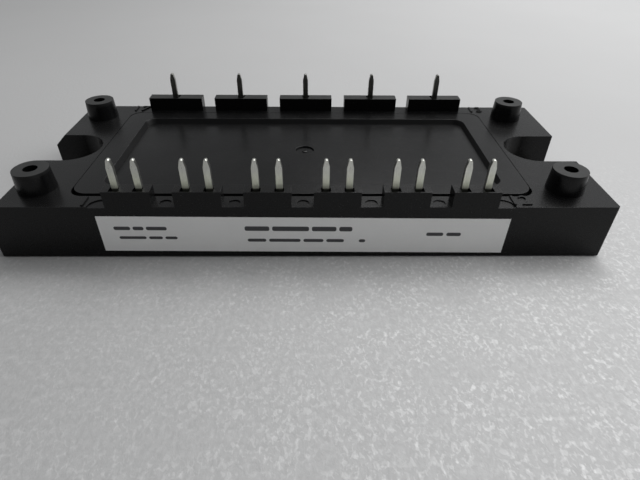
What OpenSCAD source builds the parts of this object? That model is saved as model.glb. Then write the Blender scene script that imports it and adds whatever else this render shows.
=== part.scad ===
// Six-pack IGBT power module with pins for a circuit board.
// Origin: centre of the base plate's underside. +X along the module, -Y is the front row, +Z up.

/* [Body] */
// Length of the case
body_len = 107.5; // [96:0.5:135]
// Width of the case
body_w = 45; // [42:0.5:60]
// Height of the deck above the mounting plane
deck_h = 10.6; // [10.2:0.1:16]
// Radius of the case's upright corners
corner_r = 0.4; // [0.3:0.1:2]
// Height at which the case's lower edge clears the mounting plane
case_foot_z = 0.2; // [0.1:0.05:0.5]
// Run of the chamfer along the marked end, along the length
chamfer_run = 2.4; // [0.5:0.1:3]
// Drop of the chamfer along the marked end
chamfer_drop = 2.3; // [0.5:0.1:3]

/* [Base plate] */
// Thickness of the base plate
plate_t = 3; // [2:0.1:4]
// Case wall that stands round the base plate
plate_wall = 1.2; // [1:0.1:2]
// Gap between the plate's edge and the case
plate_gap = 0.1; // [0.05:0.05:0.3]
// Radius of the plate's corners
plate_r = 1.5; // [0.5:0.1:3]
// Diameter of a fixing hole
hole_d = 5.5; // [4:0.1:6.5]
// Distance from the case's end to the fixing hole's centre
hole_end = 7.25; // [6:0.05:9]
// Thickness of the glue between plate and case
glue_t = 0.2; // [0.1:0.05:0.3]
// Width of the glue ring
glue_w = 1; // [0.6:0.1:1.4]

/* [End notches] */
// Width of a notch
notch_w = 11.6; // [8:0.1:12]
// Distance from the case's end to the middle of a notch's round end
notch_end = 6.5; // [6:0.05:9]

/* [Stand-offs] */
// Diameter of a stand-off at its top
boss_d = 6; // [5:0.1:7]
// How much wider a stand-off is at its foot, for its draft
boss_draft = 0.5; // [0:0.1:1]
// Height of a stand-off above the deck
boss_h = 3.85; // [2:0.05:8]
// Diameter of the screw hole in a stand-off
boss_hole_d = 2.4; // [1.8:0.1:3]
// Depth of the screw hole
boss_hole_depth = 6; // [3:0.1:6.5]
// Distance from the case's end to a stand-off's centre
boss_end = 7; // [5:0.05:9]
// Distance from the case's side to a stand-off's centre
boss_side = 6.25; // [4:0.05:7.5]

/* [Lid] */
// Length of the deck left at each end of the lid
end_deck = 13.05; // [12.8:0.05:15]
// Width of the rim left along the rear of the lid
side_rim = 3.85; // [3.5:0.05:5]
// How much narrower the rim along the front is
front_rim_cut = 0.3; // [0:0.05:0.5]
// Thickness of the lid
lid_t = 2.2; // [1.6:0.1:2.6]
// Radius of the lid's corners
lid_r = 2.8; // [1:0.1:4]
// Radius of the corners of the lid's seat
seat_r = 2.5; // [0.5:0.1:4]
// Gap between lid and case
lid_gap = 0.1; // [0.05:0.05:0.3]
// Gap between lid and case along the front
lid_front_gap = 0.85; // [0.1:0.05:1]
// Width of the ledge that the lid rests on
ledge_w = 1.5; // [1:0.1:2]
// Border of the lid round its sunken panel, at the ends
panel_end_border = 4.45; // [2:0.05:8]
// Border of the lid round its sunken panel, at the sides
panel_side_border = 3.65; // [2:0.05:6]
// Depth of the sunken panel
panel_depth = 1; // [0.3:0.1:1.2]
// How far the panel's sides slope inward
panel_slope = 0.5; // [0.1:0.1:0.9]
// Radius of the panel's corners
panel_r = 2.2; // [1:0.1:4]
// Diameter of the gate mark in the middle of the panel
gate_mark_d = 3.8; // [1.5:0.1:5]
// Depth of the gate mark
gate_mark_depth = 0.3; // [0.1:0.05:0.4]
// Diameter of the gate's stub in its mark
gate_stub_d = 1.1; // [0.6:0.1:1.4]
// Distance of the gate mark from the middle line, toward the rear
gate_mark_y = 0.9; // [-2:0.1:2]

/* [Ejector marks] */
// Diameter of the round marks between the front blocks
ejector_d = 2.1; // [1:0.1:3]
// Diameter of the marks beside the first and last front block
end_ejector_d = 4.3; // [2:0.1:5]
// Where those two marks stand from the middle
end_ejector_x = 33.9; // [33:0.1:36]
// Distance of the marks from the front edge
ejector_edge = 0.3; // [0:0.05:0.6]
// Depth of the marks
ejector_depth = 0.2; // [0.05:0.01:0.3]

/* [Terminal blocks] */
// Height of the terminal blocks above the deck
block_h = 2.9; // [1:0.1:5]
// Thickness of the terminal blocks
block_t = 2.6; // [2.4:0.1:3.2]
// Length of a front block, which holds two control pins
front_block_l = 7.9; // [6.5:0.1:10]
// Length of a rear block, which holds one power pin
rear_block_l = 12.3; // [4:0.1:14]
// Distance between front blocks
front_pitch = 11.6; // [11:0.1:12.5]
// Distance between rear blocks
rear_pitch = 15.3; // [14.5:0.1:16]

/* [Pins] */
// Width of a pin
pin_w = 1.15; // [0.8:0.05:1.5]
// Thickness of a pin
pin_t = 0.8; // [0.5:0.05:1]
// Distance between the two pins of a front block
pair_pitch = 3.9; // [3.2:0.1:4.5]
// Height of a control pin above its block
control_pin_rise = 5.1; // [3:0.05:9]
// Height of a power pin above its block
power_pin_rise = 5.55; // [3:0.05:9]
// Distance from the case's side to a pin's outer face
pin_setback = 1.4; // [1.1:0.05:1.6]
// Length of a pin's tapered tip
pin_tip_l = 1.4; // [0.8:0.1:2.5]
// Width of a pin at its rounded end
pin_tip_w = 0.68; // [0.4:0.02:0.8]
// Length of a pin's foot inside the case
foot_l = 5.6; // [5:0.1:6]
// Gap round a pin in the case
pin_gap = 0.05; // [0.02:0.01:0.1]
// Width of the pocket in front of a pin
pocket_w = 1.6; // [1.2:0.1:2]
// Depth of the pocket
pocket_depth = 1.5; // [0.5:0.1:2]
// Lip between the pocket and the case's side
pocket_lip = 0.2; // [0.2:0.05:0.5]

/* [Case inside] */
// Height of the shelves that carry the pins' feet
shelf_z = 5.2; // [4.8:0.1:6]
// Width of a shelf
shelf_w = 2.65; // [2:0.05:3]
// Wall left round the hollows under the stand-offs
hollow_wall = 2; // [1.5:0.1:2.4]
// Radius of the column round a stand-off's hole
column_r = 2.4; // [2:0.1:3]
// Height of the gel's surface
gel_z = 8; // [7.7:0.1:8.2]
// Gap round the gel
gel_gap = 0.05; // [0.02:0.01:0.2]

/* [Substrate] */
// Gap between the substrate and the shelves or end walls
substrate_gap = 0.5; // [0.3:0.1:1]
// Thickness of the solder under the substrate
base_solder_t = 0.15; // [0.05:0.05:0.3]
// Thickness of the substrate's copper
copper_t = 0.3; // [0.2:0.05:0.5]
// Thickness of the ceramic
ceramic_t = 0.6; // [0.3:0.05:1]
// Bare rim of ceramic round the copper
ceramic_rim = 0.7; // [0.5:0.1:1.2]
// Gap between tracks
track_gap = 0.8; // [0.5:0.1:1]
// Width of the positive and negative bars
bar_w = 1.2; // [0.8:0.1:1.6]
// Distance between the three half-bridges
cell_pitch = 24.4; // [24:0.1:24.6]
// Width of the strip that brings a phase to the rear
strip_w = 4.6; // [3:0.1:5]
// Width of a gate track
gate_track_w = 0.8; // [0.5:0.1:1.2]

/* [Chips] */
// Side of an IGBT die
igbt_side = 7.6; // [6:0.1:8]
// Side of a diode die
diode_side = 5.2; // [4:0.1:5.5]
// Thickness of a die
die_t = 0.2; // [0.1:0.05:0.4]
// Thickness of the solder under a die
die_solder_t = 0.1; // [0.05:0.01:0.2]
// Centre of the IGBT dies from the half-bridge's middle
igbt_x = -6.2; // [-6.3:0.1:-5.8]
// Centre of the diode dies from the half-bridge's middle
diode_x = 2.6; // [2:0.1:3]
// Distance of both die rows from the middle line
die_row_y = 5.8; // [5.6:0.1:6]

/* [Bond wires] */
// Diameter of a power wire
power_wire_d = 0.38; // [0.3:0.02:0.5]
// Diameter of a gate wire
gate_wire_d = 0.2; // [0.15:0.01:0.3]
// Rise of a wire's arch
wire_rise = 1.2; // [0.8:0.1:1.4]
// Distance between wires side by side
wire_pitch = 1.3; // [0.8:0.1:1.5]
// Distance between the two wires on a power pin's foot
foot_wire_pitch = 0.6; // [0.5:0.05:0.7]
// Distance from an edge to the wire bonded beside it
wire_inset = 0.6; // [0.4:0.1:0.9]

/* [Label] */
// Length of the label
label_l = 70.6; // [40:0.1:80]
// Height of the label
label_h = 7.3; // [4:0.1:8]
// Thickness of the label
label_t = 0.12; // [0.05:0.01:0.2]
// Middle of the label along the case
label_x = 0.3; // [-5:0.1:5]
// Height of the label's middle
label_z = 4.9; // [4.5:0.1:6]
// Turn of the label, clockwise from the front
label_turn = 0.45; // [0:0.05:1]

/* [Hidden] */
$fn = 48;
// Overlap that makes one solid of two shapes of the same piece
bite = 1;
// Overrun of a cut past the face that it opens
over = 1;

front_count = 6;
control_count = 2 * front_count;
power_count = 5;
pin_count = control_count + power_count;
cell_count = 3;
die_count = 2 * cell_count;

function pin_name(pin) =
    str(pin > control_count ? "power_pin_" : "control_pin_", pin < 10 ? "0" : "", pin);
function phase_name(cell) = str("phase_track_", ["u", "v", "w"][cell]);

// Heights from the mounting plane upward
case_floor_z = plate_t + glue_t;
back_copper_z = plate_t + base_solder_t;
ceramic_z = back_copper_z + copper_t;
track_z = ceramic_z + ceramic_t;
track_top_z = track_z + copper_t;
die_z = track_top_z + die_solder_t;
die_top_z = die_z + die_t;
lid_z = deck_h - lid_t;
block_top_z = deck_h + block_h;
boss_top_z = deck_h + boss_h;

// Outlines in plan
plate_len = body_len - 2 * (plate_wall + plate_gap);
plate_width = body_w - 2 * (plate_wall + plate_gap);
seat_len = body_len - 2 * end_deck;
seat_w = body_w - 2 * side_rim;
cavity_len = seat_len - 2 * ledge_w;
cavity_w = seat_w - 2 * ledge_w;
floor_w = cavity_w - 2 * shelf_w;
panel_len = seat_len - 2 * panel_end_border;
panel_w = seat_w - 2 * panel_side_border;
ceramic_len = cavity_len - 2 * substrate_gap;
ceramic_w = floor_w - 2 * substrate_gap;
copper_len = ceramic_len - 2 * ceramic_rim;
copper_w = ceramic_w - 2 * ceramic_rim;
hole_x = body_len / 2 - hole_end;
boss_x = body_len / 2 - boss_end;
boss_y = body_w / 2 - boss_side;
pin_y = body_w / 2 - pin_setback - pin_t / 2;
foot_end_y = pin_y + pin_t / 2 - foot_l;

// Tracks of one half-bridge, from its middle
bar_y = copper_w / 2 - bar_w;
field_y = bar_y - track_gap;
cell_edge = (cell_pitch - track_gap) / 2;
field_left = -cell_edge + gate_track_w + track_gap;
strip_left = cell_edge - strip_w;
strip_middle = cell_edge - strip_w / 2;
bar_middle_y = bar_y + bar_w / 2;
middle_gap = track_gap / 2;

function pin_x(pin) =
    pin > control_count
        ? (control_count + (power_count + 1) / 2 - pin) * rear_pitch
        : (floor((pin - 1) / 2) - (front_count - 1) / 2) * front_pitch
            + ((pin - 1) % 2 - 0.5) * pair_pitch;
function cell_x(cell) = (cell - (cell_count - 1) / 2) * cell_pitch;
function is_front(pin) = pin <= control_count;
function pin_top_z(pin) = block_top_z + (is_front(pin) ? control_pin_rise : power_pin_rise);
// The last half-bridge is laid out the other way round, with its strip next to its power pin
function is_turned(cell) = cell == cell_count - 1;
function turn(cell) = is_turned(cell) ? -1 : 1;

module rounded_rect(length, width, radius) {
    square([length - 2 * radius, width], center = true);
    square([length, width - 2 * radius], center = true);
    for (side_x = [-1, 1], side_y = [-1, 1])
        translate([side_x * (length / 2 - radius), side_y * (width / 2 - radius)])
            circle(radius);
}

module rounded_plate(length, width, radius, z, height) {
    translate([0, 0, z])
        linear_extrude(height)
            rounded_rect(length, width, radius);
}

// A box given by its low corner and its high corner in plan
module slab(low, high, z, height) {
    translate([low.x, low.y, z])
        cube([high.x - low.x, high.y - low.y, height]);
}

// Mirrors what lies on the positive side of X or Y to the negative side
module to_side(side_x, side_y) {
    mirror([side_x < 0 ? 1 : 0, 0, 0])
        mirror([0, side_y < 0 ? 1 : 0, 0])
            children();
}

module at_cell(cell) {
    translate([cell_x(cell), 0, 0])
        to_side(turn(cell), 1)
            children();
}

module at_corners(x, y) {
    for (side_x = [-1, 1], side_y = [-1, 1])
        translate([side_x * x, side_y * y, 0])
            children();
}

// ---- Base plate and glue ----

module base_plate() {
    color("silver")
        difference() {
            rounded_plate(plate_len, plate_width, plate_r, 0, plate_t);
            for (side = [-1, 1])
                translate([side * hole_x, 0, -over])
                    cylinder(d = hole_d, h = plate_t + 2 * over);
        }
}

module case_adhesive() {
    color("whitesmoke")
        translate([0, 0, plate_t])
            linear_extrude(glue_t)
                difference() {
                    square([cavity_len + 2 * glue_w, floor_w + 2 * glue_w], center = true);
                    square([cavity_len, floor_w], center = true);
                }
}

// ---- Case ----

module body_blank() {
    intersection() {
        rounded_plate(body_len, body_w, corner_r, case_foot_z, deck_h - case_foot_z);
        translate([0, body_w / 2 + over, 0])
            rotate([90, 0, 0])
                linear_extrude(body_w + 2 * over)
                    polygon([
                        [-body_len / 2 - over, 0],
                        [body_len / 2 + over, 0],
                        [body_len / 2 + over, deck_h + over],
                        [-body_len / 2 + chamfer_run * (1 + over / chamfer_drop), deck_h + over],
                        [-body_len / 2, deck_h - chamfer_drop],
                        [-body_len / 2 - over, deck_h - chamfer_drop - over],
                    ]);
    }
}

module terminal_block(x, side, length) {
    low_y = side < 0 ? -body_w / 2 : body_w / 2 - block_t;
    slab([x - length / 2, low_y], [x + length / 2, low_y + block_t], deck_h - bite, block_h + bite);
}

module terminal_blocks() {
    for (block = [0:front_count - 1])
        terminal_block((block - (front_count - 1) / 2) * front_pitch, -1, front_block_l);
    for (pin = [control_count + 1:pin_count])
        terminal_block(pin_x(pin), 1, rear_block_l);
}

module stand_offs() {
    at_corners(boss_x, boss_y) {
        translate([0, 0, deck_h - bite])
            cylinder(d = boss_d + boss_draft, h = bite);
        translate([0, 0, deck_h])
            cylinder(d1 = boss_d + boss_draft, d2 = boss_d, h = boss_h);
    }
}

module stand_off_holes() {
    at_corners(boss_x, boss_y)
        translate([0, 0, boss_top_z - boss_hole_depth])
            cylinder(d = boss_hole_d, h = boss_hole_depth + over);
}

module end_notches() {
    for (side = [-1, 1])
        translate([side * (body_len / 2 - notch_end), 0, 0]) {
            cylinder(d = notch_w, h = deck_h + over);
            translate([side * notch_end, 0, (deck_h + over) / 2])
                cube([2 * notch_end, notch_w, deck_h + over], center = true);
        }
}

// Hollow on each side of a notch, under a stand-off, with a column left for its screw hole
module end_hollows() {
    inner_x = body_len / 2 - end_deck + hollow_wall;
    outer_x = body_len / 2 - hollow_wall;
    inner_y = notch_w / 2 + hollow_wall;
    outer_y = body_w / 2 - hollow_wall;
    height = deck_h - hollow_wall - case_floor_z;
    for (side_x = [-1, 1], side_y = [-1, 1])
        to_side(side_x, side_y)
            difference() {
                slab([inner_x, inner_y], [outer_x, outer_y], case_floor_z - bite, height + bite);
                translate([boss_x, boss_y, 0])
                    cylinder(r = column_r, h = deck_h);
            }
}

module inside() {
    rounded_plate(
        plate_len + 2 * plate_gap, plate_width + 2 * plate_gap, plate_r, -over, case_floor_z + over
    );
    slab([-cavity_len / 2, -floor_w / 2], [cavity_len / 2, floor_w / 2], plate_t, deck_h);
    slab([-cavity_len / 2, -cavity_w / 2], [cavity_len / 2, cavity_w / 2], shelf_z, deck_h);
    translate([0, -front_rim_cut / 2, 0])
        rounded_plate(seat_len, seat_w + front_rim_cut, seat_r, lid_z, lid_t + over);
}

// Shallow rounds left by the ejector pins, between the front blocks and beside the first and last
module ejector_marks() {
    mark_y = -body_w / 2;
    floor_z = deck_h - ejector_depth;
    for (gap = [1:front_count - 1])
        translate([(gap - front_count / 2) * front_pitch, mark_y + ejector_d / 2 + ejector_edge, floor_z])
            cylinder(d = ejector_d, h = ejector_depth + over);
    for (side = [-1, 1])
        translate([side * end_ejector_x, mark_y + ejector_edge, floor_z])
            cylinder(d = end_ejector_d, h = ejector_depth + over);
}

// Passage for one pin and its foot, with the pocket in front of it
module pin_passage(pin) {
    width = pin_w + 2 * pin_gap;
    low_y = pin_y - pin_t / 2 - pin_gap;
    high_y = pin_y + pin_t / 2 + pin_gap;
    pocket_end_y = body_w / 2 - pocket_lip;
    to_side(1, is_front(pin) ? -1 : 1)
        translate([pin_x(pin), 0, 0]) {
            slab([-width / 2, low_y], [width / 2, high_y], shelf_z, block_top_z);
            slab([-width / 2, cavity_w / 2 - bite], [width / 2, high_y], shelf_z, pin_t + pin_gap);
            slab(
                [-pocket_w / 2, high_y - 2 * pin_gap], [pocket_w / 2, pocket_end_y],
                block_top_z - pocket_depth, pocket_depth + over
            );
        }
}

module case_frame() {
    color("#2b2b2d")
        difference() {
            union() {
                difference() {
                    body_blank();
                    ejector_marks();
                }
                terminal_blocks();
                stand_offs();
            }
            inside();
            end_notches();
            end_hollows();
            stand_off_holes();
            for (pin = [1:pin_count])
                pin_passage(pin);
        }
}

// ---- Lid and label ----

// The panel's hollow: two crossed bars with sloping sides, and a cone in each corner
module panel_hollow() {
    half_bar(panel_len, panel_w);
    rotate([0, 0, 90])
        half_bar(panel_w, panel_len);
    at_corners(panel_len / 2 - panel_r, panel_w / 2 - panel_r)
        translate([0, 0, deck_h - panel_depth]) {
            cylinder(r1 = panel_r - panel_slope, r2 = panel_r, h = panel_depth);
            translate([0, 0, panel_depth])
                cylinder(r = panel_r, h = over);
        }
}

// A bar of the hollow along X, whose long sides slope
module half_bar(length, width) {
    rotate([90, 0, 90])
        linear_extrude(length - 2 * panel_r, center = true)
            polygon([
                [panel_slope - width / 2, deck_h - panel_depth],
                [width / 2 - panel_slope, deck_h - panel_depth],
                [width / 2, deck_h],
                [width / 2, deck_h + over],
                [-width / 2, deck_h + over],
                [-width / 2, deck_h],
            ]);
}

module gate_mark() {
    floor_z = deck_h - panel_depth - gate_mark_depth;
    translate([0, gate_mark_y, floor_z])
        difference() {
            cylinder(d = gate_mark_d, h = panel_depth);
            translate([0, 0, -over])
                cylinder(d = gate_stub_d, h = gate_mark_depth / 2 + over);
        }
}

module lid() {
    seat_front_y = -seat_w / 2 - front_rim_cut;
    front_y = seat_front_y + lid_front_gap;
    rear_y = seat_w / 2 - lid_gap;
    color("#333335")
        difference() {
            translate([0, (front_y + rear_y) / 2, 0])
                rounded_plate(seat_len - 2 * lid_gap, rear_y - front_y, lid_r, lid_z, lid_t);
            panel_hollow();
            gate_mark();
        }
}

module label() {
    color("gainsboro")
        translate([label_x, -body_w / 2 - label_t / 2, label_z])
            rotate([0, label_turn, 0])
                cube([label_l, label_t, label_h], center = true);
}

// ---- Pins ----

module pin_outline(top_z) {
    shoulder_z = top_z - pin_tip_l;
    round_z = top_z - pin_tip_w / 2;
    polygon([
        [-pin_w / 2, shelf_z],
        [pin_w / 2, shelf_z],
        [pin_w / 2, shoulder_z],
        [pin_tip_w / 2, round_z],
        [-pin_tip_w / 2, round_z],
        [-pin_w / 2, shoulder_z],
    ]);
    translate([0, round_z])
        circle(d = pin_tip_w);
}

module bent_pin(pin) {
    color("gainsboro")
        to_side(1, is_front(pin) ? -1 : 1)
            translate([pin_x(pin), 0, 0]) {
                translate([0, pin_y + pin_t / 2, 0])
                    rotate([90, 0, 0])
                        linear_extrude(pin_t)
                            pin_outline(pin_top_z(pin));
                slab([-pin_w / 2, foot_end_y], [pin_w / 2, pin_y], shelf_z, pin_t);
            }
}

// ---- Substrate ----

module base_solder() {
    color("darkgray")
        translate([0, 0, plate_t + base_solder_t / 2])
            cube([copper_len, copper_w, base_solder_t], center = true);
}

module substrate_back_copper() {
    color("peru")
        translate([0, 0, back_copper_z + copper_t / 2])
            cube([copper_len, copper_w, copper_t], center = true);
}

module substrate_ceramic() {
    color("white")
        translate([0, 0, ceramic_z + ceramic_t / 2])
            cube([ceramic_len, ceramic_w, ceramic_t], center = true);
}

// Bar along the rear with a field for the upper chips of each half-bridge
module positive_track() {
    bar_left = -copper_len / 2 + bar_w + track_gap;
    color("peru") {
        slab([bar_left, bar_y], [copper_len / 2, copper_w / 2], track_z, copper_t);
        for (cell = [0:cell_count - 1])
            at_cell(cell)
                slab([field_left, middle_gap], [strip_left - track_gap, bar_y], track_z, copper_t);
    }
}

// Bar along the front with a column to the rear at the left end
module negative_track() {
    left = -copper_len / 2;
    color("peru") {
        slab([left, -copper_w / 2], [copper_len / 2, -bar_y], track_z, copper_t);
        slab([left, -bar_y], [left + bar_w, copper_w / 2], track_z, copper_t);
    }
}

// Field for the lower chips with a strip to the rear beside the upper field
module phase_track(cell) {
    color("peru")
        at_cell(cell) {
            slab([field_left, -field_y], [cell_edge, -middle_gap], track_z, copper_t);
            slab([strip_left, -middle_gap], [cell_edge, field_y], track_z, copper_t);
        }
}

module gate_tracks() {
    color("peru")
        for (cell = [0:cell_count - 1])
            at_cell(cell)
                slab([-cell_edge, -field_y], [gate_track_w - cell_edge, die_row_y], track_z, copper_t);
}

// ---- Chips ----

// Dies 1, 3 and 5 are the upper ones at the rear, and 2, 4 and 6 the lower ones at the front
function die_cell(die) = floor((die - 1) / 2);
function die_y(die) = (die % 2 == 1 ? 1 : -1) * die_row_y;

module at_die(die, x) {
    at_cell(die_cell(die))
        translate([x, die_y(die), 0])
            children();
}

module square_plate(side, z, thickness) {
    translate([0, 0, z + thickness / 2])
        cube([side, side, thickness], center = true);
}

module igbt_die(die) {
    color("dimgray")
        at_die(die, igbt_x)
            square_plate(igbt_side, die_z, die_t);
}

module diode_die(die) {
    color("slategray")
        at_die(die, diode_x)
            square_plate(diode_side, die_z, die_t);
}

module die_solder() {
    color("darkgray")
        for (die = [1:die_count]) {
            at_die(die, igbt_x)
                square_plate(igbt_side, track_top_z, die_solder_t);
            at_die(die, diode_x)
                square_plate(diode_side, track_top_z, die_solder_t);
        }
}

// ---- Bond wires ----

// An arch of round wire from one bonded point to another
module bond_wire(start, end, diameter) {
    lift = [0, 0, diameter / 2];
    run = end - start;
    chord = norm(run);
    arch_r = (chord * chord / 4 + wire_rise * wire_rise) / (2 * wire_rise);
    half_angle = asin(chord / 2 / arch_r);
    translate((start + end) / 2 + lift)
        rotate([0, -asin(run.z / chord), atan2(run.y, run.x)])
            translate([0, 0, wire_rise - arch_r])
                rotate([90, 0, 0])
                    rotate([0, 0, 90 - half_angle])
                        rotate_extrude(angle = 2 * half_angle)
                            translate([arch_r, 0])
                                circle(d = diameter, $fn = 16);
}

// Upper die to upper diode to phase strip, and lower dies to the negative bar
module power_wires() {
    color("lightgray")
        for (cell = [0:cell_count - 1], place = [-1:1])
            at_cell(cell) {
                y = die_row_y + place * wire_pitch;
                stop_x = diode_x - wire_inset;
                go_on_x = diode_x + wire_inset;
                bond_wire([igbt_x, y, die_top_z], [stop_x, y, die_top_z], power_wire_d);
                bond_wire([go_on_x, y, die_top_z], [strip_middle, y, track_top_z], power_wire_d);
                for (x = [igbt_x, diode_x])
                    bond_wire(
                        [x + place * wire_pitch, -die_row_y, die_top_z],
                        [x + place * wire_pitch, -bar_middle_y, track_top_z], power_wire_d
                    );
            }
}

// From the gate track to the upper die of each half-bridge
module gate_wires() {
    color("lightgray")
        for (cell = [0:cell_count - 1])
            at_cell(cell)
                bond_wire(
                    [-cell_edge + gate_track_w / 2, die_row_y - wire_inset, track_top_z],
                    [igbt_x - igbt_side / 2 + wire_inset, die_row_y - wire_inset, die_top_z], gate_wire_d
                );
}

// Landing points of the four control pins of a half-bridge: upper gate track, lower die's gate,
// phase field and negative bar
function control_landing(place) = [
    [-cell_edge + gate_track_w / 2, -field_y + wire_inset, track_top_z],
    [igbt_x + igbt_side / 2 - wire_inset, -die_row_y - igbt_side / 2 + wire_inset, die_top_z],
    [strip_left - wire_inset, -field_y + wire_inset, track_top_z],
    [strip_middle, -bar_middle_y, track_top_z],
][place];

// Landing points of the power pins: positive bar, phases W, V and U, and negative column
function power_landing(pin) = [
    [pin_x(pin), bar_middle_y],
    [cell_x(2) - strip_middle, field_y - wire_inset],
    [cell_x(1) + strip_middle, field_y - wire_inset],
    [cell_x(0) + strip_middle, field_y - wire_inset],
    [-copper_len / 2 + bar_w / 2, field_y],
][pin - control_count - 1];

module pin_wires() {
    foot_y = foot_end_y + wire_inset;
    foot_top_z = shelf_z + pin_t;
    pins_per_cell = control_count / cell_count;
    color("lightgray") {
        for (cell = [0:cell_count - 1], place = [0:pins_per_cell - 1])
            at_cell(cell) {
                ordinal = is_turned(cell) ? pins_per_cell - 1 - place : place;
                x = turn(cell) * (pin_x(cell * pins_per_cell + ordinal + 1) - cell_x(cell));
                bond_wire([x, -foot_y, foot_top_z], control_landing(place), gate_wire_d);
            }
        for (pin = [control_count + 1:pin_count], side = [-1, 1]) {
            foot = [pin_x(pin), foot_y];
            landing = power_landing(pin);
            run = landing - foot;
            aside = side * foot_wire_pitch / 2 / norm(run) * [-run.y, run.x];
            start = foot + aside;
            end = landing + aside;
            bond_wire([start.x, start.y, foot_top_z], [end.x, end.y, track_top_z], power_wire_d);
        }
    }
}

// ---- Gel ----

// The layer of gel over the wires, up to its surface
module gel_fill() {
    low_z = shelf_z + pin_t + wire_rise + power_wire_d;
    color("lightblue", 0.5)
        translate([0, 0, (low_z + gel_z) / 2])
            cube([cavity_len - 2 * gel_gap, cavity_w - 2 * gel_gap, gel_z - low_z], center = true);
}

base_plate();
case_adhesive();
case_frame();
lid();
label();
for (pin = [1:pin_count]) bent_pin(pin);
base_solder();
substrate_back_copper();
substrate_ceramic();
positive_track();
negative_track();
gate_tracks();
for (cell = [0:cell_count - 1]) phase_track(cell);
for (die = [1:die_count]) igbt_die(die);
for (die = [1:die_count]) diode_die(die);
die_solder();
power_wires();
gate_wires();
pin_wires();
gel_fill();
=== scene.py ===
import math

import bmesh
import bpy
from bpy.props import FloatProperty, FloatVectorProperty, PointerProperty
from bpy.types import Operator, Panel, PropertyGroup
from mathutils import Matrix, Vector


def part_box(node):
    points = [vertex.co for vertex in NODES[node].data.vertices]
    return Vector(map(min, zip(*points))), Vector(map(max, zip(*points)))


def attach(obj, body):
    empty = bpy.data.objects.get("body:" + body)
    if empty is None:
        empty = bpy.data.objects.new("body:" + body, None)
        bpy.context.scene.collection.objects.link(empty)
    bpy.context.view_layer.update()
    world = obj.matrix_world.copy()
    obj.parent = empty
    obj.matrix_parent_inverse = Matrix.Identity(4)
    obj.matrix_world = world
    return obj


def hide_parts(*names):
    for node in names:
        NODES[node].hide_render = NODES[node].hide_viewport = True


bl_info = {
    "name": "Power Module",
    "version": (1, 0, 0),
    "blender": (4, 5, 0),
    "location": "3D View > Sidebar > Power Module",
    "description": "Finishes a flat power semiconductor module around its solids",
    "category": "Object",
}

MM = 0.001
BODY = "root"

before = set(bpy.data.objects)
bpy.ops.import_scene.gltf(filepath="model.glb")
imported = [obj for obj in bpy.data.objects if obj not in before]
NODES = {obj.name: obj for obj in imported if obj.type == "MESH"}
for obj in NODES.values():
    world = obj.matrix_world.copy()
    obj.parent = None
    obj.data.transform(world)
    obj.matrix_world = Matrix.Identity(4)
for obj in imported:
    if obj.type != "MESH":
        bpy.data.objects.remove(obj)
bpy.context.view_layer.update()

CASE_LOW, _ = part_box("case_frame")
LID_LOW, LID_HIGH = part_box("lid")
LABEL_LOW, LABEL_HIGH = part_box("label")

# The deck is level with the lid, and the terminal blocks stand 2.9 mm above it
DECK_Z = LID_HIGH.z
BLOCK_Z = DECK_Z + 2.9 * MM

CONTROL_PINS = sorted(name for name in NODES if name.startswith("control_pin_"))
POWER_PINS = sorted(name for name in NODES if name.startswith("power_pin_"))


# Settings


def in_mm(name, about, default, low=0.0):
    """A length that is written in millimetres and kept in metres."""
    return FloatProperty(
        name=name, description=about, default=default * MM, min=low * MM, unit="LENGTH"
    )


def angle(name, about, default):
    """An angle that is written in degrees and kept in radians."""
    return FloatProperty(
        name=name, description=about, default=math.radians(default), subtype="ANGLE"
    )


def share(name, about, default, high=1.0):
    """A plain number from nought up."""
    return FloatProperty(name=name, description=about, default=default, min=0.0, max=high)


def tint(name, about, default):
    """A colour in linear light."""
    return FloatVectorProperty(
        name=name, description=about, default=default, size=3, min=0.0, max=1.0, subtype="COLOR"
    )


class ModuleSizes(PropertyGroup):
    """The small sizes that the solids leave out."""

    case_edge: in_mm("Case edge", "How far the housing's edges are rounded", 0.16)
    lid_edge: in_mm("Lid edge", "How far the rim of the lid's panel is rounded", 0.06)
    seam_edge: in_mm("Seam edge", "How far both edges of the lid's seam are rounded", 0.05)
    pin_edge: in_mm("Pin edge", "How far a pin's edges are rounded", 0.08)
    plate_edge: in_mm("Plate edge", "How far the base plate's edges are rounded", 0.15)
    label_edge: in_mm("Label edge", "How far the label's edges are rounded", 0.03)
    number_height: in_mm("Number height", "Height of a moulded pin number", 2.75, 0.5)
    number_relief: in_mm("Number relief", "How far a pin number stands proud", 0.22, 0.02)
    print_relief: in_mm("Print thickness", "Thickness of the printed bars", 0.012, 0.002)
    print_corner: in_mm("Print corner", "Radius of the printed bars' corners", 0.3)


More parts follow.
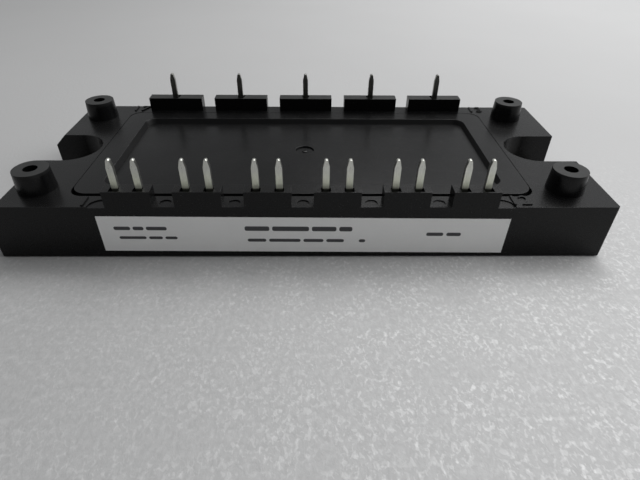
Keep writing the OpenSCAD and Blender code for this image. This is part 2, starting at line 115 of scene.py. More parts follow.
class ModuleColours(PropertyGroup):
    """The colours of the module's finishes and of the room."""

    plastic: tint("Plastic", "The black housing", (0.0034, 0.0034, 0.0036))
    dust: tint("Dust", "The film of dust on the housing", (0.13, 0.13, 0.125))
    pale_top: tint("Pale top", "The bloom on stand-offs and rear blocks", (0.03, 0.0305, 0.03))
    worn: tint("Worn edge", "The edges where the plastic is rubbed", (0.03, 0.03, 0.031))
    tin: tint("Tin", "The plated pins", (0.6, 0.605, 0.56))
    tarnish: tint("Tarnish", "The front pins near the housing", (0.84, 0.86, 0.7))
    nickel: tint("Nickel", "The base plate", (0.6, 0.585, 0.55))
    label: tint("Label", "The label's film", (0.86, 0.86, 0.85))
    ink: tint("Ink", "The bars printed on the label", (0.05, 0.05, 0.053))
    thin_ink: tint("Thin ink", "The bars where their ink lies thin", (0.09, 0.09, 0.095))
    copper: tint("Copper", "The tracks of the substrate", (0.72, 0.36, 0.22))
    ceramic: tint("Ceramic", "The substrate", (0.82, 0.82, 0.79))
    silicon: tint("Silicon", "The chips", (0.09, 0.1, 0.13))
    chip_metal: tint("Chip metal", "The rows of metal on the chips", (0.5, 0.5, 0.48))
    wire: tint("Wire", "The bond wires", (0.83, 0.83, 0.84))
    solder: tint("Solder", "The solder layers", (0.46, 0.47, 0.49))
    glue: tint("Glue", "The bead between plate and housing", (0.7, 0.7, 0.68))
    gel: tint("Gel", "The soft filling", (0.78, 0.83, 0.86))
    floor: tint("Floor", "The surface below", (0.5, 0.5, 0.5))
    room: tint("Room", "The light of the surroundings", (0.97, 0.985, 1.0))


class ModuleView(PropertyGroup):
    """The camera, the floor and the light."""

    camera_x: in_mm("Camera X", "Where the camera stands along the module", 1.622, -1000)
    camera_y: in_mm("Camera Y", "Where the camera stands in front of it", -87.852, -1000)
    camera_z: in_mm("Camera Z", "Where the camera stands above it", 53.056, -1000)
    heading: angle("Heading", "Turn to the right of straight across", 1.145)
    tilt: angle("Tilt", "Turn down from level", 37.02)
    roll: angle("Roll", "Turn about the line of sight", 0.642)
    lens: share("Lens", "Focal length on a 36 mm wide sensor, in millimetres", 26.17, 500.0)
    floor_reach: in_mm("Floor reach", "How far the floor runs to each side", 800.0)
    room_front: share("Room, front", "Strength of the surroundings in front", 0.14, 10.0)
    room_back: share("Room, back", "Strength of the surroundings behind", 0.27, 10.0)
    room_left: share("Room, left", "How many times stronger they are on the left", 1.5, 10.0)
    room_right: share("Room, right", "How many times stronger they are on the right", 2.3, 10.0)
    backdrop: share("Backdrop", "How pale the space behind the floor looks", 0.6)
    lamp: share("Lamp", "Power of the soft lamp overhead, in watts", 1.75, 1000.0)
    lamp_side: in_mm("Lamp side", "Length of the overhead lamp's side", 330.0)
    window: share("Window", "Power of the soft window on the right, in watts", 9.4, 1000.0)
    window_side: in_mm("Window side", "Length of the window's side", 900.0)


def sizes():
    """The sizes as the user has set them."""
    return bpy.context.scene.module_sizes


def colours():
    """The colours as the user has set them."""
    return bpy.context.scene.module_colours


# Finishes

# The number on each face that says whether it belongs to a rounded edge
WORN = "worn_edge"


def plus_alpha(colour):
    """A colour with the fourth number that a socket takes."""
    return tuple(colour) + (1.0,)


class Number:
    """A value in a recipe that takes part in ordinary arithmetic."""

    def __init__(self, recipe, socket):
        self.recipe = recipe
        self.socket = socket

    def math(self, operation, *others, flipped=False):
        """A Math node on this value and others, in the other order where flipped."""
        values = [self, *others]
        if flipped:
            values.reverse()
        node = self.recipe.node("ShaderNodeMath", dict(enumerate(values)), operation=operation)
        return Number(self.recipe, node.outputs[0])

    def __add__(self, other):
        return self.math("ADD", other)

    def __radd__(self, other):
        return self.math("ADD", other, flipped=True)

    def __sub__(self, other):
        return self.math("SUBTRACT", other)

    def __rsub__(self, other):
        return self.math("SUBTRACT", other, flipped=True)

    def __mul__(self, other):
        return self.math("MULTIPLY", other)

    def __rmul__(self, other):
        return self.math("MULTIPLY", other, flipped=True)

    def larger(self, other):
        """The larger of this and another value."""
        return self.math("MAXIMUM", other)

    def between(self, start, end):
        """Start where this is 0, end where it is 1, and evenly spread between."""
        return self * (end - start) + start

    def ramp(self, low, high, start=0.0, end=1.0):
        """Start at and below low, end at and above high, and a soft change between."""
        node = self.recipe.node(
            "ShaderNodeMapRange",
            dict(enumerate((self, low, high, start, end))),
            interpolation_type="SMOOTHSTEP",
        )
        return Number(self.recipe, node.outputs[0])


class Recipe:
    """A tree of shading nodes, built one node at a time."""

    def __init__(self, tree):
        self.tree = tree

    def node(self, kind, inputs=None, **settings):
        """Adds a node of a kind, sets it up, and then feeds its inputs by name or number."""
        node = self.tree.nodes.new(kind)
        for name, value in settings.items():
            setattr(node, name, value)
        for slot, value in (inputs or {}).items():
            self.feed(node.inputs[slot], value)
        return node

    def feed(self, slot, value):
        """Links an input to a value in the tree, or sets it to a plain one."""
        if isinstance(value, Number):
            value = value.socket
        if isinstance(value, bpy.types.NodeSocket):
            self.tree.links.new(value, slot)
        else:
            slot.default_value = value

    def axes(self, vector):
        """A vector's parts along x, y and z."""
        node = self.node("ShaderNodeSeparateXYZ", {"Vector": vector})
        return [Number(self, socket) for socket in node.outputs]


class Finish(Recipe):
    """A procedural material for a piece."""

    def __init__(self, name, colour, roughness, metallic=0.0, **constants):
        self.material = bpy.data.materials.new(name)
        self.material.use_nodes = True
        super().__init__(self.material.node_tree)
        self.shader = self.tree.nodes["Principled BSDF"]
        self.base = plus_alpha(colour)
        constants.update(Base_Color=self.base, Roughness=roughness, Metallic=metallic)
        for socket, value in constants.items():
            self.feed(self.shader.inputs[socket.replace("_", " ")], value)
        self.place = self.node("ShaderNodeTexCoord").outputs["Object"]

    def scaled(self, x=1.0, y=1.0, z=1.0, turn=(0.0, 0.0, 0.0)):
        """The place on the piece, turned and scaled: a pattern is longer where a scale is small."""
        node = self.node(
            "ShaderNodeMapping", {"Vector": self.place, "Rotation": turn, "Scale": (x, y, z)}
        )
        return node.outputs["Vector"]

    def noise(self, grain, detail=2.0, rough=0.5, warp=0.0, at=None):
        """Cloudy noise from 0 to 1 whose lumps are about grain metres wide."""
        node = self.node(
            "ShaderNodeTexNoise",
            {
                "Vector": at or self.place,
                "Scale": 1.0 / grain,
                "Detail": detail,
                "Roughness": rough,
                "Distortion": warp,
            },
        )
        return Number(self, node.outputs["Fac"])

    def scatter(self, spacing):
        """How many spacings away the nearest of many scattered points is."""
        node = self.node("ShaderNodeTexVoronoi", {"Vector": self.place, "Scale": 1.0 / spacing})
        return Number(self, node.outputs["Distance"])

    def worn_edges(self):
        """1 on a rounded edge and 0 elsewhere."""
        node = self.node("ShaderNodeAttribute", attribute_name=WORN)
        return Number(self, node.outputs["Fac"])

    def facing(self):
        """How far a face looks along x, y and z."""
        node = self.node("ShaderNodeNewGeometry")
        return self.axes(node.outputs["Normal"])

    def mixed(self, under, over, amount):
        """One colour over another by an amount."""
        node = self.node("ShaderNodeMix", {0: amount, 6: under, 7: over}, data_type="RGBA")
        return node.outputs[2]

    def shaded(self, colour, amount):
        """A colour made lighter or darker by a number about 1."""
        if isinstance(colour, tuple):
            colour = colour[:3]
        node = self.node("ShaderNodeVectorMath", {0: colour, "Scale": amount}, operation="SCALE")
        return node.outputs[0]

    def colour(self, value):
        """Sets the colour that the shader shows."""
        self.feed(self.shader.inputs["Base Color"], value)

    def roughness(self, value):
        """Sets how dull the surface is."""
        self.feed(self.shader.inputs["Roughness"], value)

    def metal(self, value):
        """Sets how far the surface is bare metal."""
        self.feed(self.shader.inputs["Metallic"], value)

    def bumps(self, height, depth, strength):
        """Raises the surface by height, which runs from 0 to 1, times depth in metres."""
        node = self.node(
            "ShaderNodeBump", {"Height": height, "Distance": depth, "Strength": strength}
        )
        self.feed(self.shader.inputs["Normal"], node.outputs["Normal"])


def moulded_plastic(name, dusty=1.0, matt=0.27, matt_walls=0.0):
    """Black thermoset plastic with a fine spark-eroded grain, a little dust, and a paler colour on
    the level tops of the stand-offs and rear blocks.

    Matt is the roughness of its level faces, and matt_walls is what upright ones add to it.
    """
    shades = colours()
    finish = Finish(name, shades.plastic, matt, Specular_IOR_Level=0.22)
    cloud = finish.noise(9 * MM, detail=3.0, warp=0.4)
    patch = finish.noise(2.4 * MM, detail=4.0)
    grain = finish.noise(0.16 * MM, detail=2.0, rough=0.6)
    top = finish.facing()[2].larger(0.0)

    # A paler colour lies on the level tops of the stand-offs and the rear blocks. The rear counts
    # as higher than it is, because its blocks are as tall as the front ones, which stay without it.
    _, y, z = finish.axes(finish.place)
    rear_lift = MM
    level = z + y.ramp(0.0, rear_lift) * rear_lift
    pale_low, pale_high = BLOCK_Z + 0.3 * MM, BLOCK_Z + 0.6 * MM
    paleness = level.ramp(pale_low, pale_high) * patch.ramp(0.25, 0.7, 0.5, 1.0) * top

    film = cloud.ramp(0.3, 0.75, 0.01, 0.035) * patch.ramp(0.25, 0.7, 0.8, 1.1) * top * dusty
    specks = finish.scatter(3.4 * MM).ramp(0.02, 0.05, 0.4, 0.0)
    specks = specks * finish.noise(5 * MM).ramp(0.55, 0.65) * top * dusty
    worn = finish.worn_edges() * patch.ramp(0.4, 0.7, 0.2, 0.7)

    colour = finish.shaded(finish.base, cloud.between(0.85, 1.15))
    colour = finish.mixed(colour, plus_alpha(shades.dust), film + specks)
    colour = finish.mixed(colour, plus_alpha(shades.pale_top), paleness)
    colour = finish.mixed(colour, plus_alpha(shades.worn), worn)
    finish.colour(colour)

    # The grain and the patches add 0.04 on average, which is taken off again
    rough = grain * 0.06 + patch * 0.02 + (matt - 0.04) + (1.0 - top) * matt_walls
    finish.roughness(rough + paleness * 0.2 + worn * 0.05)
    finish.bumps(grain * 0.8 + patch * 0.3, 0.01 * MM, 0.4)
    return finish.material


def tin_plate(name):
    """Matt tin over copper: stained low on the front pins, with painted shade at the pins' feet in
    their pockets and on the power pins.
    """
    finish = Finish(name, colours().tin, 0.3, metallic=1.0)
    streak = finish.noise(0.3 * MM, detail=4.0, rough=0.65, at=finish.scaled(z=0.3))
    blotch = finish.noise(1.1 * MM, detail=3.0)
    _, y, z = finish.axes(finish.place)
    above_block = z - BLOCK_Z
    front_row = y.ramp(-8 * MM, -4 * MM, 1.0, 0.0)
    front_face = finish.facing()[1].ramp(-0.8, -0.2, 1.0, 0.0)
    stain = above_block.ramp(0.5 * MM, 3.7 * MM, 1.0, 0.0) * blotch.ramp(0.3, 0.6, 0.7, 1.0)
    stain = stain * front_row * front_face
    # Painted shade: the pins are painted nearly black below the tops of the blocks, inside their
    # pockets
    pocket_shade = above_block.ramp(-0.3 * MM, 0.05 * MM, 0.08, 1.0)
    # Painted shade: the power pins are painted darker, and darker still towards their feet
    row_shade = front_row.larger(above_block.ramp(0.0, 2.6 * MM, 0.2, 0.5))
    colour = finish.mixed(finish.base, plus_alpha(colours().tarnish), stain)
    finish.colour(finish.shaded(colour, streak.between(0.75, 1.25) * pocket_shade * row_shade))
    finish.metal(stain.between(1.0, 0.1))
    finish.roughness(streak * 0.14 + stain * 0.1 + 0.22)
    finish.bumps(streak, 0.012 * MM, 0.5)
    return finish.material


def nickel_plate(name):
    """Rolled copper under satin nickel, with handling marks."""
    finish = Finish(name, colours().nickel, 0.32, metallic=1.0)
    rolled = finish.noise(0.5 * MM, detail=4.0, at=finish.scaled(x=0.04))
    cloud = finish.noise(14 * MM, detail=3.0, warp=0.6)
    slanting = finish.scaled(x=0.02, turn=(0.0, 0.0, 0.5))
    scratch = finish.noise(0.25 * MM, detail=1.0, at=slanting).ramp(0.62, 0.7)
    finish.colour(finish.shaded(finish.base, rolled * 0.16 + cloud * 0.2 + 0.8))
    finish.roughness(rolled * 0.12 + cloud * 0.14 + scratch * 0.1 + 0.2)
    finish.bumps(rolled * 0.7 + scratch * 0.4, 0.006 * MM, 0.5)
    return finish.material


def label_film(name):
    """White polyester film with a faint cloud and a soft sheen."""
    finish = Finish(name, colours().label, 0.38)
    cloud = finish.noise(11 * MM, detail=2.0)
    grain = finish.noise(0.4 * MM, detail=2.0)
    finish.colour(finish.shaded(finish.base, cloud * 0.06 + grain * 0.03 + 0.955))
    finish.roughness(grain * 0.08 + cloud * 0.08 + 0.3)
    finish.bumps(grain * 0.4 + cloud, 0.01 * MM, 0.25)
    return finish.material


def printing_ink(name):
    """Matt black ink that lies a little unevenly."""
    finish = Finish(name, colours().ink, 0.55)
    grain = finish.noise(0.12 * MM, detail=3.0)
    thin = grain.ramp(0.6, 0.85, 0.0, 0.5)
    finish.colour(finish.mixed(finish.base, plus_alpha(colours().thin_ink), thin))
    finish.roughness(grain.between(0.45, 0.6))
    return finish.material


def plain_metal(name, colour, roughness, grain, stretch=1.0, depth=0.006 * MM):
    """A metal with a grain of a size in metres, drawn out along x where stretch is below 1."""
    finish = Finish(name, colour, roughness, metallic=1.0)
    fine = finish.noise(grain, detail=3.0, at=finish.scaled(x=stretch))
    cloud = finish.noise(grain * 9, detail=2.0)
    finish.colour(finish.shaded(finish.base, fine * 0.16 + cloud * 0.22 + 0.8))
    finish.roughness(fine * 0.14 + cloud * 0.1 + (roughness - 0.1))
    finish.bumps(fine, depth, 0.4)
    return finish.material


def fired_ceramic(name):
    """White ceramic with a dry, fine-grained face."""
    finish = Finish(name, colours().ceramic, 0.5)
    fine = finish.noise(0.2 * MM, detail=3.0)
    cloud = finish.noise(6 * MM)
    finish.colour(finish.shaded(finish.base, fine * 0.05 + cloud * 0.05 + 0.94))
    finish.roughness(fine.between(0.42, 0.57))
    finish.bumps(fine, 0.006 * MM, 0.3)
    return finish.material


def chip_silicon(name):
    """Polished silicon with fine rows of metal."""
    finish = Finish(name, colours().silicon, 0.22, Coat_Weight=0.3)
    x, _, _ = finish.axes(finish.place)
    row_pitch = 0.4 * MM
    rows = (x * (math.tau / row_pitch)).math("SINE").ramp(-0.2, 0.2)
    cloud = finish.noise(3 * MM)
    metal = rows * 0.35 + cloud * 0.15
    finish.colour(finish.mixed(finish.base, plus_alpha(colours().chip_metal), metal))
    finish.roughness(rows.between(0.18, 0.28))
    finish.bumps(rows, 0.004 * MM, 0.4)
    return finish.material


def soft_silicone(name, colour, roughness, transmission=0.0):
    """Soft silicone with a slow ripple from how it was poured."""
    finish = Finish(name, colour, roughness, Transmission_Weight=transmission)
    ripple = finish.noise(3.5 * MM, detail=2.0)
    fine = finish.noise(0.5 * MM, detail=2.0)
    finish.colour(finish.shaded(finish.base, ripple.between(0.95, 1.03)))
    finish.roughness(fine * 0.1 + ripple * 0.06 + (roughness - 0.06))
    finish.bumps(ripple + fine * 0.3, 0.03 * MM, 0.4)
    return finish.material


def pale_surface(name):
    """A pale foam sheet with fine lumps in front. Painted light makes it lighter to the right and a
    little darker far behind, and bright dots in front are painted glints on its grain.
    """
    finish = Finish(name, colours().floor, 0.62)
    x, y, _ = finish.axes(finish.place)
    drawn_out = finish.scaled(y=0.75)
    cloud = finish.noise(45 * MM, detail=3.0)
    lumps = finish.noise(0.9 * MM, detail=4.0, rough=0.65, warp=0.4, at=drawn_out)
    grains = finish.noise(0.5 * MM, detail=1.0, warp=0.3, at=drawn_out).ramp(0.52, 0.68)
    spots = finish.noise(0.85 * MM, detail=1.0, warp=0.3, at=drawn_out).ramp(0.55, 0.67)
    drift = finish.noise(5 * MM, detail=2.0).ramp(0.3, 0.6, 0.25, 1.0)
    in_front = y.ramp(-45 * MM, 30 * MM, 1.0, 0.0)
    # Painted glints: bright dots on the foam's grain in front, thicker to the right where the light
    # falls
    to_right = x.ramp(-50 * MM, 30 * MM, 0.4, 1.0)
    glint_flecks = (grains * 0.55 + spots * 0.6) * drift * to_right * in_front

    # Painted light: the sheet's colour is lighter to the right, towards the window, in one way
    # close by and in another further off, and a little darker far behind
    close = x.ramp(-60 * MM, 60 * MM, 0.79, 1.14)
    beyond = x.ramp(-200 * MM, 200 * MM, 0.78, 1.16) * y.ramp(0.0, 400 * MM, 1.0, 0.94)
    light = beyond + (close - beyond) * y.ramp(-40 * MM, 60 * MM, 1.0, 0.0)
    mottle_and_glints = (lumps - 0.5) * 0.36 * in_front + (cloud - 0.5) * 0.06 + glint_flecks * 0.36 + 0.965
    finish.colour(finish.shaded(finish.base, light * mottle_and_glints))
    finish.roughness(glint_flecks.between(0.75, 0.55))
    finish.bumps(lumps + glint_flecks * 0.4, 0.2 * MM, 0.3)
    return finish.material


# Shapes

# How close two corners are that count as one: on a solid, and on text of height 1
SAME_POINT = 0.002 * MM
SAME_TEXT_POINT = 1e-5

# Faces that meet below the first angle count as one flat face. An edge is rounded above the
# second, and it is drawn sharp from the third up.
FLAT_ANGLE = math.radians(0.6)
ROUNDED_ANGLE = math.radians(32)
SHARP_ANGLE = math.radians(40)


def new_piece(name, mesh, material, stands_for=()):
    """Puts a finished mesh in the scene as a piece of the module."""
    piece = bpy.data.objects.new(name, mesh)
    bpy.context.scene.collection.objects.link(piece)
    mesh.materials.clear()
    mesh.materials.append(material)
    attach(piece, BODY)
    if stands_for:
        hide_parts(*stands_for)
    return piece


def finish_nodes(names, material):
    """Gives solids whose shape is right a better finish."""
    for name in names:
        mesh = NODES[name].data
        mesh.materials.clear()
        mesh.materials.append(material)


def shape_to_mesh(shape, name):
    """Turns a bmesh into a mesh whose gentle edges are smooth."""
    for face in shape.faces:
        face.smooth = True
    for edge in shape.edges:
        edge.smooth = edge.calc_face_angle(0.0) < SHARP_ANGLE
    mesh = bpy.data.meshes.new(name)
    shape.to_mesh(mesh)
    shape.free()
    return mesh


def even_normals(piece):
    """Keeps the large flat faces flat beside their rounded edges."""
    modifier = piece.modifiers.new("Even shading", "WEIGHTED_NORMAL")
    modifier.keep_sharp = True


def joined_copy(node):
    """A bmesh of a solid with its doubles merged and its flat faces joined."""
    shape = bmesh.new()
    shape.from_mesh(NODES[node].data)
    bmesh.ops.remove_doubles(shape, verts=shape.verts, dist=SAME_POINT)
    bmesh.ops.dissolve_limit(
        shape, angle_limit=FLAT_ANGLE, verts=shape.verts, edges=shape.edges
    )
    return shape


def bevel(shape, edges, width, segments, **options):
    """Rounds edges by a width, in a number of segments."""
    return bmesh.ops.bevel(
        shape,
        geom=edges,
        offset=width,
        offset_type="OFFSET",
        affect="EDGES",
        segments=segments,
        profile=0.5,
        material=-1,
        **options,
    )


def round_edges(shape, roundings):
    """Rounds sharp edges and marks them as worn.

    Each rounding is a width and a function that says which edges it takes.
    """
    worn = shape.faces.layers.float.new(WORN)
    for width, wanted in roundings:
        edges = [
            edge
            for edge in shape.edges
            if edge.is_convex and edge.calc_face_angle() > ROUNDED_ANGLE and wanted(edge)
        ]
        made = bevel(shape, edges, width, segments=2, clamp_overlap=True, miter_outer="ARC")
        for face in made["faces"]:
            face[worn] = 1.0


def every(edge):
    """Takes any edge."""
    return True


def middle(edge):
    """The point halfway along an edge."""
    return (edge.verts[0].co + edge.verts[1].co) / 2


def over_lid(point, margin):
    """Whether a point is within the lid's outline, which the margin widens."""
    return (
        LID_LOW.x - margin < point.x < LID_HIGH.x + margin
        and LID_LOW.y - margin < point.y < LID_HIGH.y + margin
    )


def at_deck(point):
    """Whether a point is no lower than the deck, or only just."""
    return point.z > DECK_Z - 0.1 * MM


def rounded_solid(node, name, roundings, material):
    """A solid with its edges rounded, standing for the node."""
    shape = joined_copy(node)
    round_edges(shape, roundings)
    piece = new_piece(name, shape_to_mesh(shape, name), material, (node,))
    even_normals(piece)


def number_shape(text, name, height, depth):
    """Solid figures of a given height and depth, with their middle at the origin."""
    curve = bpy.data.curves.new(name, "FONT")
    curve.body = text
    curve.align_x = "CENTER"
    curve.extrude = 0.5
    curve.resolution_u = 4
    holder = bpy.data.objects.new(name, curve)
    bpy.context.scene.collection.objects.link(holder)
    shape = bmesh.new()
    shape.from_mesh(holder.to_mesh())
    holder.to_mesh_clear()
    bpy.data.objects.remove(holder)
    bpy.data.curves.remove(curve)
    bmesh.ops.remove_doubles(shape, verts=shape.verts, dist=SAME_TEXT_POINT)
    low = Vector(map(min, *[v.co for v in shape.verts]))
    high = Vector(map(max, *[v.co for v in shape.verts]))
    flat_scale = height / (high.y - low.y)
    deep_scale = depth / (high.z - low.z)
    bmesh.ops.translate(shape, verts=shape.verts, vec=-(low + high) / 2)
    bmesh.ops.scale(shape, verts=shape.verts, vec=(flat_scale, flat_scale, deep_scale))
    bmesh.ops.recalc_face_normals(shape, faces=shape.faces)
    return shape


def add_bar(shape, place, size, corner):
    """Adds a thin bar that faces along y, with its four corners rounded."""
    verts = bmesh.ops.create_cube(shape, size=1.0)["verts"]
    bmesh.ops.scale(shape, verts=verts, vec=size)
    bmesh.ops.translate(shape, verts=verts, vec=place)
    new = set(verts)
    through = [
        edge
        for edge in shape.edges
        if edge.verts[0] in new and abs(edge.verts[0].co.y - edge.verts[1].co.y) > size.y / 2
    ]
    bevel(shape, through, corner, segments=3)


# Steps


class MODULE_OT_case(Operator):
    """Round the housing's outer edges and give it its moulded finish"""

    bl_idname = "module.case"
    bl_label = "Housing"
    bl_options = {"REGISTER", "UNDO"}

    def execute(self, context):
        seam_margin = 0.8 * MM

        def outside(edge):
            point = middle(edge)
            return point.z > CASE_LOW.z + MM and not over_lid(point, seam_margin)

        def at_seam(edge):
            point = middle(edge)
            return at_deck(point) and over_lid(point, seam_margin)

        rounded_solid(
            "case_frame",
            "housing",
            ((sizes().case_edge, outside), (sizes().seam_edge, at_seam)),
            moulded_plastic("housing_plastic"),
        )
        return {"FINISHED"}


class MODULE_OT_lid(Operator):
    """Round the lid's edges and the rim of its sunken panel"""

    bl_idname = "module.lid"
    bl_label = "Lid"
    bl_options = {"REGISTER", "UNDO"}

    def execute(self, context):
        underside = LID_LOW.z + 0.5 * MM

        def in_panel(edge):
            point = middle(edge)
            return over_lid(point, -MM) and point.z > underside

        def at_seam(edge):
            return at_deck(middle(edge)) and not in_panel(edge)

        rounded_solid(
            "lid",
            "cover",
            ((sizes().lid_edge, in_panel), (sizes().seam_edge, at_seam)),
            moulded_plastic("cover_plastic", dusty=0.7, matt=0.265, matt_walls=0.55),
        )
        return {"FINISHED"}


# Each number on the deck, and its place along x and y in millimetres
PIN_NUMBERS = (
    ("1", -36.85, -20.75),
    ("12", 37.4, -20.4),
    ("13", 41.1, 20.75),
    ("17", -39.0, 20.75),
)

# How far the numbers reach into the deck
NUMBER_ROOT = 0.05 * MM


class MODULE_OT_numbers(Operator):
    """Mould the numbers of the first and last pin of each row on the deck"""

    bl_idname = "module.numbers"
    bl_label = "Pin numbers"
    bl_options = {"REGISTER", "UNDO"}

    def execute(self, context):
        material = moulded_plastic("number_plastic", dusty=0.6)
        height, relief = sizes().number_height, sizes().number_relief
        for text, x, y in PIN_NUMBERS:
            name = "pin_number_" + text
            shape = number_shape(text, name, height, relief + NUMBER_ROOT)
            centre = Vector((x * MM, y * MM, DECK_Z + (relief - NUMBER_ROOT) / 2))
            bmesh.ops.translate(shape, verts=shape.verts, vec=centre)
            new_piece(name, shape_to_mesh(shape, name), material)
        return {"FINISHED"}


class MODULE_OT_label(Operator):
    """Lay the label's film on the long front side"""

    bl_idname = "module.label"
    bl_label = "Label"
    bl_options = {"REGISTER", "UNDO"}

    def execute(self, context):
        edges = ((sizes().label_edge, every),)
        rounded_solid("label", "rating_film", edges, label_film("film_white"))
        return {"FINISHED"}


# The label's length and height, and how far it is stuck on askew
PRINT_LENGTH = 70.6 * MM
PRINT_HEIGHT = 7.3 * MM
PRINT_TURN = math.radians(0.45)

# The bars that stand for lines of print, as shares of the label: left, bottom, width, height
PRINT_BARS = (
    (0.036, 0.62, 0.040, 0.10),
    (0.082, 0.62, 0.026, 0.10),
    (0.114, 0.62, 0.050, 0.10),
    (0.044, 0.36, 0.066, 0.08),
    (0.116, 0.36, 0.034, 0.08),
    (0.156, 0.36, 0.030, 0.08),
    (0.353, 0.62, 0.060, 0.13),
    (0.420, 0.62, 0.090, 0.13),
    (0.517, 0.62, 0.060, 0.13),
    (0.584, 0.62, 0.032, 0.13),
    (0.358, 0.30, 0.046, 0.09),
    (0.411, 0.30, 0.078, 0.09),
    (0.496, 0.30, 0.050, 0.09),
    (0.553, 0.30, 0.044, 0.09),
    (0.634, 0.30, 0.016, 0.09),
    (0.800, 0.50, 0.042, 0.10),
    (0.850, 0.50, 0.036, 0.10),
)


class MODULE_OT_print(Operator):
    """Print the label with plain bars in place of words"""

    bl_idname = "module.print"
    bl_label = "Print"
    bl_options = {"REGISTER", "UNDO"}

    def execute(self, context):
        relief, corner = sizes().print_relief, sizes().print_corner
        shape = bmesh.new()
        for left, low, wide, tall in PRINT_BARS:
            across = (left + wide / 2 - 0.5) * PRINT_LENGTH
            up = (low + tall / 2 - 0.5) * PRINT_HEIGHT
            size = Vector((wide * PRINT_LENGTH, relief, tall * PRINT_HEIGHT))
            add_bar(shape, Vector((across, 0.0, up)), size, corner)
        turn = Matrix.Rotation(PRINT_TURN, 4, "Y")
        bmesh.ops.transform(shape, matrix=turn, verts=shape.verts)
        centre = (LABEL_LOW + LABEL_HIGH) / 2
        face = Vector((centre.x, LABEL_LOW.y, centre.z))
        bmesh.ops.translate(shape, verts=shape.verts, vec=face)
        mesh = shape_to_mesh(shape, "rating_bars")
        new_piece("rating_bars", mesh, printing_ink("bar_ink"))
        return {"FINISHED"}


class MODULE_OT_pins(Operator):
    """Round the pins' edges and plate them"""

    bl_idname = "module.pins"
    bl_label = "Pins"
    bl_options = {"REGISTER", "UNDO"}

    def execute(self, context):
        material = tin_plate("pin_tin")
        edges = ((sizes().pin_edge, every),)
        for node in CONTROL_PINS + POWER_PINS:
            rounded_solid(node, node + "_plated", edges, material)
        return {"FINISHED"}


class MODULE_OT_base(Operator):
    """Give the base plate and its glue their finish"""

    bl_idname = "module.base"
    bl_label = "Base plate"
    bl_options = {"REGISTER", "UNDO"}

    def execute(self, context):
        rounded_solid(
            "base_plate",
            "cooling_plate",
            ((sizes().plate_edge, every),),
            nickel_plate("plate_nickel"),
        )
        finish_nodes(["case_adhesive"], soft_silicone("glue_bead", colours().glue, 0.5))
        return {"FINISHED"}


class MODULE_OT_circuit(Operator):
    """Give the sealed circuit its metals, ceramic, silicon and gel"""

    bl_idname = "module.circuit"
    bl_label = "Circuit"
    bl_options = {"REGISTER", "UNDO"}

    def execute(self, context):
        shades = colours()
        copper = plain_metal("track_copper", shades.copper, 0.34, 0.3 * MM)
        solder = plain_metal("joint_solder", shades.solder, 0.48, 0.5 * MM, depth=0.012 * MM)
        wire = plain_metal("bond_aluminium", shades.wire, 0.3, 0.2 * MM, stretch=0.2)
        tracks = [n for n in NODES if n.endswith("_track") or n.startswith("phase_track")]
        finish_nodes(tracks + ["gate_tracks", "substrate_back_copper"], copper)
        finish_nodes(["substrate_ceramic"], fired_ceramic("substrate_white"))
        finish_nodes([n for n in NODES if "_die_" in n], chip_silicon("chip_silicon"))
        finish_nodes(["base_solder", "die_solder"], solder)
        finish_nodes(["power_wires", "gate_wires", "pin_wires"], wire)
        finish_nodes(["gel_fill"], soft_silicone("filling_gel", shades.gel, 0.15, 0.7))
        return {"FINISHED"}


# The camera's sensor, in millimetres, and the nearest that it sees
SENSOR_WIDTH = 36.0
NEAREST = 5 * MM

# Where the lamps hang, in metres
LAMP_PLACE = Vector((0.14, 0.32, 0.5))
WINDOW_PLACE = Vector((0.91, 0.15, 0.96))


def set_camera(view):
    """Stands the camera in its place, turned by its heading, tilt and roll."""
    data = bpy.data.cameras.new("camera")
    data.lens = view.lens
    data.sensor_width = SENSOR_WIDTH
    data.clip_start = NEAREST
    camera = bpy.data.objects.new("camera", data)
    bpy.context.scene.collection.objects.link(camera)
    east, north = math.sin(view.heading), math.cos(view.heading)
    down, level = math.sin(view.tilt), math.cos(view.tilt)
    right = Vector((north, -east, 0.0))
    up = Vector((down * east, down * north, level))
    ahead = Vector((level * east, level * north, -down))
    side = math.cos(view.roll) * right + math.sin(view.roll) * up
    top = math.cos(view.roll) * up - math.sin(view.roll) * right
    turned = Matrix((side, top, -ahead)).transposed().to_4x4()
    place = Matrix.Translation((view.camera_x, view.camera_y, view.camera_z))
    camera.matrix_world = place @ turned
    bpy.context.scene.camera = camera


def lay_floor(view):
    """Lays the pale sheet under the module."""
    shape = bmesh.new()
    bmesh.ops.create_grid(shape, x_segments=2, y_segments=2, size=view.floor_reach)
    mesh = shape_to_mesh(shape, "floor")
    mesh.materials.append(pale_surface("floor_pale"))
    floor = bpy.data.objects.new("floor", mesh)
    bpy.context.scene.collection.objects.link(floor)


def hang_lamp(name, power, side, place):
    """Hangs a square lamp that shines on the module."""
    data = bpy.data.lights.new(name, "AREA")
    data.shape = "SQUARE"
    data.size = side
    data.energy = power
    lamp = bpy.data.objects.new(name, data)
    bpy.context.scene.collection.objects.link(lamp)
    aim = (-place).to_track_quat("-Z", "Y").to_matrix().to_4x4()
    lamp.matrix_world = Matrix.Translation(place) @ aim


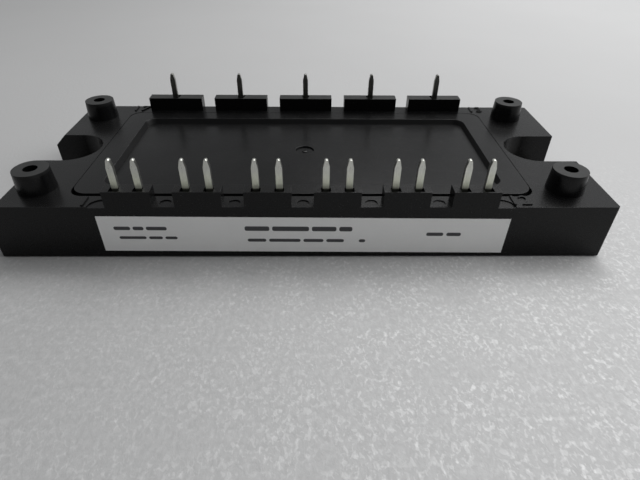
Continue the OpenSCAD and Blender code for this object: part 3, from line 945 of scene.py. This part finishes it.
def light_room(view):
    """Lights the room softly from all round, more from behind and from both sides."""
    world = bpy.data.worlds.new("room")
    bpy.context.scene.world = world
    world.use_nodes = True
    background = world.node_tree.nodes["Background"]
    recipe = Recipe(world.node_tree)
    x, y, _ = recipe.axes(recipe.node("ShaderNodeTexCoord").outputs["Generated"])
    across = y.ramp(-0.4, 0.6, view.room_front, view.room_back)
    left = x.ramp(-0.55, -0.1, view.room_left, 1.0)
    right = x.ramp(0.1, 0.55, 1.0, view.room_right)
    strength = across * left * right
    seen = Number(recipe, recipe.node("ShaderNodeLightPath").outputs["Is Camera Ray"])
    recipe.feed(background.inputs["Strength"], strength + seen * (view.backdrop - strength))
    recipe.feed(background.inputs["Color"], plus_alpha(colours().room))


class MODULE_OT_stage(Operator):
    """Set the camera, the pale floor and the soft light"""

    bl_idname = "module.stage"
    bl_label = "Stage"
    bl_options = {"REGISTER", "UNDO"}

    def execute(self, context):
        view = context.scene.module_view
        set_camera(view)
        lay_floor(view)
        hang_lamp("lamp", view.lamp, view.lamp_side, LAMP_PLACE)
        hang_lamp("window", view.window, view.window_side, WINDOW_PLACE)
        light_room(view)
        context.scene.view_settings.view_transform = "Standard"
        return {"FINISHED"}


STEPS = (
    MODULE_OT_stage,
    MODULE_OT_case,
    MODULE_OT_lid,
    MODULE_OT_numbers,
    MODULE_OT_label,
    MODULE_OT_print,
    MODULE_OT_pins,
    MODULE_OT_base,
    MODULE_OT_circuit,
)


class MODULE_PT_panel(Panel):
    """Lists the module's steps and settings"""

    bl_idname = "MODULE_PT_panel"
    bl_label = "Power Module"
    bl_space_type = "VIEW_3D"
    bl_region_type = "UI"
    bl_category = "Power Module"

    def draw(self, context):
        for step in STEPS:
            self.layout.operator(step.bl_idname)
        scene = context.scene
        for group in (scene.module_sizes, scene.module_colours, scene.module_view):
            box = self.layout.box()
            for name in group.__annotations__:
                box.prop(group, name)


CLASSES = (ModuleSizes, ModuleColours, ModuleView, *STEPS, MODULE_PT_panel)


def register():
    for item in CLASSES:
        bpy.utils.register_class(item)
    bpy.types.Scene.module_sizes = PointerProperty(type=ModuleSizes)
    bpy.types.Scene.module_colours = PointerProperty(type=ModuleColours)
    bpy.types.Scene.module_view = PointerProperty(type=ModuleView)


def unregister():
    del bpy.types.Scene.module_view
    del bpy.types.Scene.module_colours
    del bpy.types.Scene.module_sizes
    for item in reversed(CLASSES):
        bpy.utils.unregister_class(item)


def main():
    """Makes the whole scene."""
    register()
    for step in STEPS:
        group, name = step.bl_idname.split(".")
        getattr(getattr(bpy.ops, group), name)()


if __name__ == "__main__":
    main()
